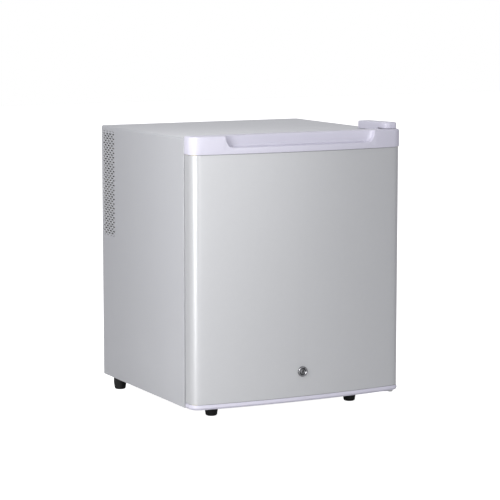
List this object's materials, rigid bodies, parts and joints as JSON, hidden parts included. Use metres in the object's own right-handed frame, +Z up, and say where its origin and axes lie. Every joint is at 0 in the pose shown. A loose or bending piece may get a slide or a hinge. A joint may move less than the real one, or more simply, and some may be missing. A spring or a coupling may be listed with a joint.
{
  "type": "minibar fridge",
  "caption": "Small hotel minibar fridge: bowed steel door on right-hand hinges with a lock and a top handle recess, thermoelectric cooler, shelf, door bins and black feet.",
  "frame": {"origin": "on the floor under the middle of the fridge's outline, door shut", "axes": "+Z up, front of the door towards -Y, door hinged at +X"},
  "size_m": [0.403, 0.3908, 0.4926],
  "materials": {
    "painted_silver": "satin silver-grey paint on sheet steel",
    "door_steel": "fine satin steel sheet",
    "pale_plastic": "semi-gloss pale bluish moulded plastic",
    "white_plastic": "white vacuum-formed plastic",
    "black_rubber": "black rubber",
    "grey_rubber": "grey soft vinyl seal",
    "foam": "rigid insulating foam",
    "zinc_steel": "zinc-plated steel",
    "chrome": "bright chrome",
    "nylon": "natural nylon",
    "aluminium": "mill-finish aluminium",
    "ceramic": "white ceramic plate",
    "dark_plastic": "black moulded plastic",
    "circuit_board": "green circuit board",
    "transformer_wrap": "yellow-taped winding on a core",
    "shelf_glass": "clear toughened glass",
    "clear_plastic": "frosted clear plastic"
  },
  "bodies": {
    "cabinet": {"side_panel_left": "painted_silver", "side_panel_right": "painted_silver", "top_panel": "painted_silver", "base_pan": "zinc_steel", "front_frame": "painted_silver", "rear_cover": "painted_silver", "foam_insulation": "foam", "inner_liner": "white_plastic", "foot_rear_left": "black_rubber", "foot_rear_right": "black_rubber", "hinge_plate_top": "zinc_steel", "hinge_pin_top": "zinc_steel", "hinge_screw_top_front": "zinc_steel", "hinge_screw_top_rear": "zinc_steel", "hinge_cover": "pale_plastic", "hinge_plate_bottom": "zinc_steel", "hinge_pin_bottom": "zinc_steel", "hinge_screw_bottom_front": "zinc_steel", "hinge_screw_bottom_rear": "zinc_steel", "lock_strike": "zinc_steel", "lock_strike_screw": "zinc_steel", "cold_block": "aluminium", "thermoelectric_module": "ceramic", "cold_sink": "aluminium", "hot_heat_sink": "aluminium", "cold_fan_frame": "dark_plastic", "cold_air_cover": "white_plastic", "hot_fan_frame": "dark_plastic", "power_board": "circuit_board", "transformer": "transformer_wrap", "capacitor_left": "dark_plastic", "capacitor_right": "dark_plastic", "power_inlet": "dark_plastic", "shelf_glass": "shelf_glass", "shelf_front_trim": "white_plastic", "shelf_rear_trim": "white_plastic", "control_housing": "white_plastic", "lamp_lens": "clear_plastic"},
    "door": {"door_skin": "door_steel", "door_top_cap": "pale_plastic", "door_bottom_cap": "pale_plastic", "door_foam": "foam", "door_liner": "white_plastic", "door_gasket": "grey_rubber", "lock_barrel": "chrome", "lock_nut": "zinc_steel", "hinge_bush_top": "nylon", "hinge_bush_bottom": "nylon", "hinge_washer": "nylon"},
    "bin_lower": {"door_bin_lower": "clear_plastic"},
    "bin_upper": {"door_bin_upper": "clear_plastic"},
    "lock_core": {"lock_cylinder": "chrome", "lock_cam": "zinc_steel", "lock_cam_screw": "zinc_steel"},
    "hot_rotor": {"hot_fan_rotor": "dark_plastic"},
    "cold_rotor": {"cold_fan_rotor": "dark_plastic"},
    "knob": {"thermostat_knob": "pale_plastic"},
    "left_foot": {"foot_front_left": "black_rubber"},
    "right_foot": {"foot_front_right": "black_rubber"}
  },
  "joints": [
    {"name": "door_hinge", "type": "hinge", "parent": "cabinet", "child": "door", "pos_m": [0.191, -0.16435, 0.25], "axis": [0, 0, 1], "range_deg": [0, 115]},
    {"name": "lock_turn", "type": "hinge", "parent": "door", "child": "lock_core", "pos_m": [0, -0.19225, 0.0767], "axis": [0, 1, 0], "range_deg": [0, 90]},
    {"name": "bin_lower_lift", "type": "slide", "parent": "door", "child": "bin_lower", "axis": [0, 0, 1], "range_m": [0, 0.012]},
    {"name": "bin_upper_lift", "type": "slide", "parent": "door", "child": "bin_upper", "axis": [0, 0, 1], "range_m": [0, 0.012]},
    {"name": "thermostat_turn", "type": "hinge", "parent": "cabinet", "child": "knob", "pos_m": [0.03, -0.00395, 0.4277], "axis": [0, -1, 0], "range_deg": [0, 270]},
    {"name": "hot_fan_spin", "type": "hinge", "parent": "cabinet", "child": "hot_rotor", "pos_m": [0, 0.1765, 0.354], "axis": [0, 1, 0], "continuous": true},
    {"name": "cold_fan_spin", "type": "hinge", "parent": "cabinet", "child": "cold_rotor", "pos_m": [0, 0.07, 0.354], "axis": [0, -1, 0], "continuous": true},
    {"name": "left_foot_level", "type": "slide", "parent": "cabinet", "child": "left_foot", "axis": [0, 0, -1], "range_m": [0, 0.006]},
    {"name": "right_foot_level", "type": "slide", "parent": "cabinet", "child": "right_foot", "axis": [0, 0, -1], "range_m": [0, 0.006]}
  ]
}
